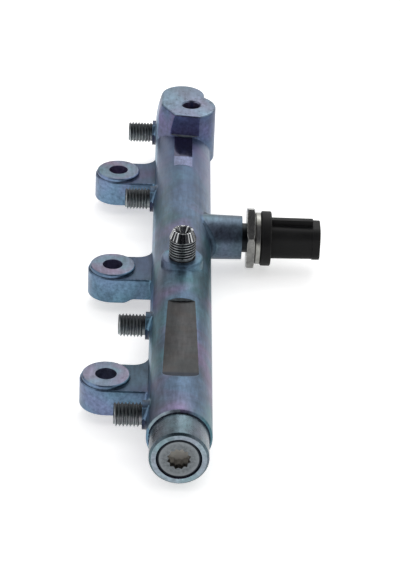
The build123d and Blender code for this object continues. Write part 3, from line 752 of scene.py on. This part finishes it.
# Painted highlight: the plastic turns lighter along its edges
color = mixed(tree, reckon(tree, "MULTIPLY", edge, 0.4), color, (0.04, 0.04, 0.042))
feed(tree, surface["Base Color"], color)
feed(tree, surface["Roughness"], spread(tree, swirl, 0.35, 0.65, 0.45, 0.58))
surface["Specular IOR Level"].default_value = 0.14

housing = welded("sensor_housing")
smooth_but_for_corners(housing, 28)
finished(housing, "socket_housing", (moulded,), "sensor_housing")

# ------------------------------------------------------------------------------------------------
# Inside the sensor. A welded diaphragm, a ring that carries the printed board, its parts, springs
# and blades, an O-ring and a soft-iron seal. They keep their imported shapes.
# ------------------------------------------------------------------------------------------------
def inner_finish(name, dark, light, metallic, roughness, scale=500.0):
    """Finish of a hidden part: two close tones, a fine texture and softened edges."""
    material, tree, surface = material_named(name, metallic, roughness)
    color, tone = toned(tree, dark, light, 0.38, 0.62, scale, 3.0, 0.6)
    feed(tree, surface["Base Color"], color)
    bumped(tree, surface, tone, 0.3, 0.01, 0.08)
    return material


tinned = inner_finish("tinned_bronze", (0.55, 0.52, 0.44), (0.72, 0.69, 0.6), 1.0, 0.28)
hidden_finishes = {
    "sensor_seal": inner_finish("soft_iron", (0.28, 0.27, 0.26), (0.4, 0.39, 0.37), 1.0, 0.45),
    "sensor_diaphragm": inner_finish(
        "diaphragm_steel", (0.36, 0.36, 0.35), (0.5, 0.5, 0.49), 1.0, 0.25
    ),
    "board_spacer": inner_finish("spacer_moulding", (0.5, 0.5, 0.44), (0.62, 0.61, 0.55), 0.0, 0.5),
    "board_chip": inner_finish(
        "chip_resin", (0.012, 0.012, 0.013), (0.03, 0.03, 0.03), 0.0, 0.45, 2500.0
    ),
    "board_capacitors": inner_finish(
        "capacitor_ceramic", (0.42, 0.3, 0.18), (0.56, 0.42, 0.27), 0.0, 0.35
    ),
    "housing_o_ring": inner_finish(
        "ring_rubber", (0.012, 0.012, 0.012), (0.03, 0.03, 0.031), 0.0, 0.6
    ),
}
for number in (1, 2, 3):
    hidden_finishes[f"terminal_{number}"] = tinned
    hidden_finishes[f"contact_spring_{number}"] = tinned

# Green solder mask over a woven laminate, with the copper tracks showing as lighter lines
laminate, tree, surface = material_named("board_laminate", 0.0, 0.32)
tracks = put(
    tree, "TexBrick", Vector=moved(tree, place_on(tree), Rotation=(0, pi / 2, 0)), Scale=1.0,
    Mortar_Size=0.12 * mm, Brick_Width=3.1 * mm, Row_Height=1.1 * mm,
    Color1=(0.015, 0.11, 0.045), Color2=(0.012, 0.09, 0.038), Mortar=(0.06, 0.24, 0.1),
)
feed(tree, surface["Base Color"], tracks.outputs["Color"])
bumped(tree, surface, tracks.outputs["Fac"], 0.4, 0.03)
hidden_finishes["circuit_board"] = laminate

for node, material in hidden_finishes.items():
    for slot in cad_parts[node].material_slots:
        slot.material = material

# ------------------------------------------------------------------------------------------------
# Studio. A white floor that keeps the rail's shadow, a white surround, one soft lamp, and dark cards
# that only reflections see, which give the metal its dark lines.
# ------------------------------------------------------------------------------------------------
def seen_ray(tree):
    """1 for rays that come straight from the camera, off a mirror or through glass, otherwise 0."""
    path = put(tree, "LightPath").outputs
    seen = reckon(tree, "MAXIMUM", path["Is Camera Ray"], path["Is Glossy Ray"])
    return reckon(tree, "MAXIMUM", seen, path["Is Transmission Ray"])


def sheet(width, depth):
    """Bmesh of a flat sheet that lies level, with its middle at the origin."""
    bm = bmesh.new()
    bmesh.ops.create_grid(bm, x_segments=1, y_segments=1, size=0.5)
    bmesh.ops.scale(bm, vec=(width, depth, 1), verts=bm.verts)
    return bm


pale, tree, surface = material_named("pale_floor", 0.0, 0.9)
surface["Base Color"].default_value = (0.9, 0.9, 0.9, 1)
surface["Emission Color"].default_value = (1, 1, 1, 1)
feed(tree, surface["Emission Strength"], spread(tree, seen_ray(tree), 0.0, 1.0, 0.0, 0.5))
ground = sheet(8.0, 8.0)
bmesh.ops.translate(ground, vec=(0, 0, cad_box[0].z), verts=ground.verts)
floor = made(ground, "floor", (pale,))

world = bpy.data.worlds.new("studio")
bpy.context.scene.world = world
world.use_nodes = True
surround = world.node_tree.nodes["Background"].inputs
surround["Color"].default_value = (1, 1, 1, 1)
brightness = spread(world.node_tree, seen_ray(world.node_tree), 0.0, 1.0, 0.75, 1.0)
feed(world.node_tree, surround["Strength"], brightness)


def card(name, size, place, facing, tone):
    """Flat card on a stand, seen only in reflections."""
    material, tree, surface = material_named(name, 0.0, 1.0)
    surface["Base Color"].default_value = (0, 0, 0, 1)
    surface["Specular IOR Level"].default_value = 0.0
    surface["Emission Color"].default_value = (*tone, 1)
    surface["Emission Strength"].default_value = 1.0
    bm = sheet(*size)
    turn = Vector(facing).to_track_quat("Z", "Y").to_matrix().to_4x4()
    bmesh.ops.transform(bm, matrix=Matrix.Translation(place) @ turn, verts=bm.verts)
    piece = made(bm, name, (material,))
    for ray in ("camera", "diffuse", "transmission", "shadow", "volume_scatter"):
        setattr(piece, "visible_" + ray, False)


card("card_over_camera", (2.6, 3.6), (0, -1.8, 1.25), (0, 1.0, -0.75), (0.07, 0.07, 0.085))
card("card_overhead", (2.2, 2.2), (0, -0.9, 2.5), (0, 0, -1.0), (0.07, 0.07, 0.085))
card("card_on_the_left", (1.6, 1.2), (-1.9, 1.5, 0.62), (1.0, -0.7, -0.1), (0.1, 0.1, 0.12))

lamp_data = bpy.data.lights.new("softbox", "AREA")
lamp_data.shape = "RECTANGLE"
lamp_data.size, lamp_data.size_y = 1.2, 1.2
lamp_data.energy = 9
lamp = bpy.data.objects.new("softbox", lamp_data)
bpy.context.scene.collection.objects.link(lamp)
lamp_place = Vector((0.4, 1.3, 1.5))
aimed_at_rail = lamp_place.to_track_quat("Z", "Y").to_matrix().to_4x4()
lamp.matrix_world = Matrix.Translation(lamp_place) @ aimed_at_rail

camera_data = bpy.data.cameras.new("camera")
camera_data.sensor_fit = "HORIZONTAL"
camera_data.sensor_width = 36
camera_data.lens = 223.3
camera = bpy.data.objects.new("camera", camera_data)
bpy.context.scene.collection.objects.link(camera)
to_the_left, down, askew = -1.26, 29.516, 2.479     # degrees
camera.matrix_world = (
    Matrix.Translation((21.50 * mm, -1153.0 * mm, 658.01 * mm))
    @ Matrix.Rotation(radians(to_the_left), 4, "Z")
    @ Matrix.Rotation(radians(90 - down), 4, "X")
    @ Matrix.Rotation(radians(askew), 4, "Z")
)
bpy.context.scene.camera = camera
bpy.context.scene.view_settings.view_transform = "Standard"
